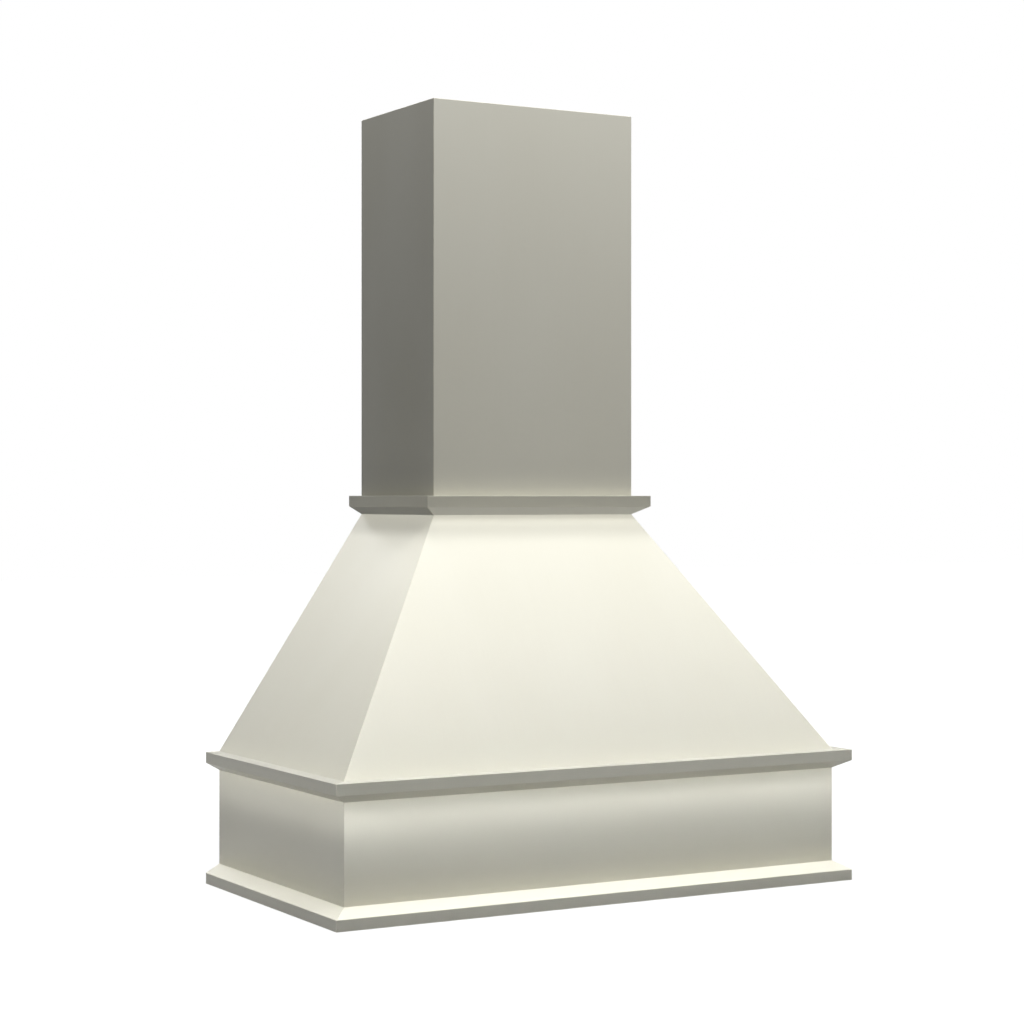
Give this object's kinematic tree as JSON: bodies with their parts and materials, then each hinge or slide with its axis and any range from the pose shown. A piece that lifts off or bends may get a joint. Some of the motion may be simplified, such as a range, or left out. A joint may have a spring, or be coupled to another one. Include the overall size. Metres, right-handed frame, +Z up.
{
  "type": "range hood cover",
  "caption": "Wooden cover for a wall-mounted range hood: a boxed band with bevelled trims, a sloping canopy and a square chimney, open at the back and underneath.",
  "frame": {"origin": "middle of the footprint on the underside, as the cover stands", "axes": "+X to the right seen from the room, +Y to the wall, +Z up"},
  "size_m": [0.9624, 0.5066, 1.3],
  "materials": {
    "cream_paint": "satin paint on smooth wood and plywood",
    "plywood": "bare, sanded",
    "softwood": "bare, planed",
    "zinc_steel": "zinc plated",
    "yellow_zinc": "yellow passivated zinc"
  },
  "bodies": {
    "root": {"band_front": "cream_paint", "band_left": "cream_paint", "band_right": "cream_paint", "base_trim_front": "cream_paint", "base_trim_left": "cream_paint", "base_trim_right": "cream_paint", "cornice_front": "cream_paint", "cornice_left": "cream_paint", "cornice_right": "cream_paint", "canopy_front": "cream_paint", "canopy_left": "cream_paint", "canopy_right": "cream_paint", "upper_trim_front": "cream_paint", "upper_trim_left": "cream_paint", "upper_trim_right": "cream_paint", "chimney_front": "cream_paint", "chimney_left": "cream_paint", "chimney_right": "cream_paint", "band_rail": "softwood", "liner_ledger_front": "softwood", "liner_ledger_left": "softwood", "liner_ledger_right": "softwood", "liner_ledger_back": "softwood", "band_corner_block_left": "softwood", "band_corner_block_right": "softwood", "hip_batten_left": "softwood", "hip_batten_right": "softwood", "canopy_front_rib": "softwood", "canopy_rail": "softwood", "chimney_lower_rail": "softwood", "chimney_upper_rail": "softwood", "foot_batten_front": "softwood", "foot_batten_left": "softwood", "foot_batten_right": "softwood", "chimney_corner_batten_left": "softwood", "chimney_corner_batten_right": "softwood", "top_batten_front": "softwood", "top_batten_left": "softwood", "top_batten_right": "softwood", "duct_deck": "plywood", "ledger_screw_front_1": "yellow_zinc", "ledger_screw_front_2": "yellow_zinc", "ledger_screw_front_3": "yellow_zinc", "ledger_screw_left_1": "yellow_zinc", "ledger_screw_left_2": "yellow_zinc", "ledger_screw_right_1": "yellow_zinc", "ledger_screw_right_2": "yellow_zinc", "foot_screw_front_1": "yellow_zinc", "foot_screw_front_2": "yellow_zinc", "foot_screw_left_1": "yellow_zinc", "foot_screw_left_2": "yellow_zinc", "foot_screw_right_1": "yellow_zinc", "foot_screw_right_2": "yellow_zinc", "band_bracket_left": "zinc_steel", "band_bracket_right": "zinc_steel", "deck_bracket_left": "zinc_steel", "deck_bracket_right": "zinc_steel"}
  },
  "joints": []
}
